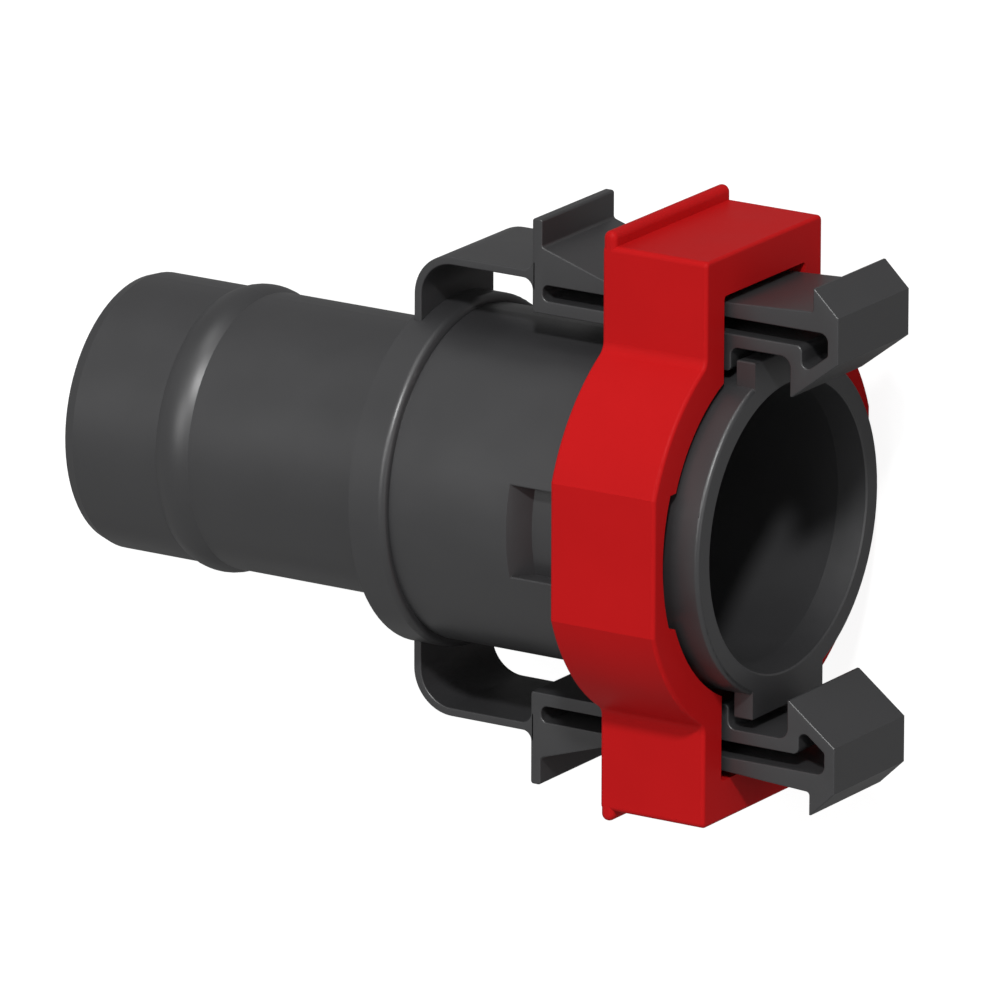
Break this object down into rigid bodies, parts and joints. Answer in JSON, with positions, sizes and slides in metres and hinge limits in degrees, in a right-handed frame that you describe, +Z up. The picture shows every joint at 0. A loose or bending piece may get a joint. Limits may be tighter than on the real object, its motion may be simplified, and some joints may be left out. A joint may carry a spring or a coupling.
{
  "type": "quick disconnect coupling",
  "caption": "Plastic hose coupling: a plain hose tail and collar behind a socket, with sprung latch levers either side of the mouth and a sliding lock ring around them.",
  "frame": {"origin": "centre of the socket's mouth, on the bore axis at the rim plane", "axes": "+X along the bore and out of the mouth, +Y towards the left latch, +Z up through one of the lock ring's flats"},
  "size_m": [0.1161, 0.0815, 0.0544],
  "materials": {
    "black_plastic": "satin",
    "red_plastic": "satin",
    "seal_rubber": "matte"
  },
  "bodies": {
    "body": {"coupling_body": "black_plastic", "socket_seal": "seal_rubber", "left_strap": "black_plastic", "right_strap": "black_plastic"},
    "ring": {"lock_ring": "red_plastic"},
    "left_lever": {"left_latch": "black_plastic"},
    "right_lever": {"right_latch": "black_plastic"}
  },
  "joints": [
    {"name": "ring_slide", "type": "slide", "parent": "body", "child": "ring", "axis": [1, 0, 0], "range_m": [-0.0062, 0.0066]},
    {"name": "left_latch_rock", "type": "hinge", "parent": "body", "child": "left_lever", "pos_m": [-0.00484, 0.02365, 0], "axis": [0, 0, 1], "range_deg": [0, 4.5], "stiffness_Nm_per_rad": 2, "springref_deg": -2.86, "deforming": ["left_strap"]},
    {"name": "right_latch_rock", "type": "hinge", "parent": "body", "child": "right_lever", "pos_m": [-0.00484, -0.02365, 0], "axis": [0, 0, -1], "range_deg": [0, 4.5], "stiffness_Nm_per_rad": 2, "springref_deg": -2.86, "deforming": ["right_strap"]}
  ]
}
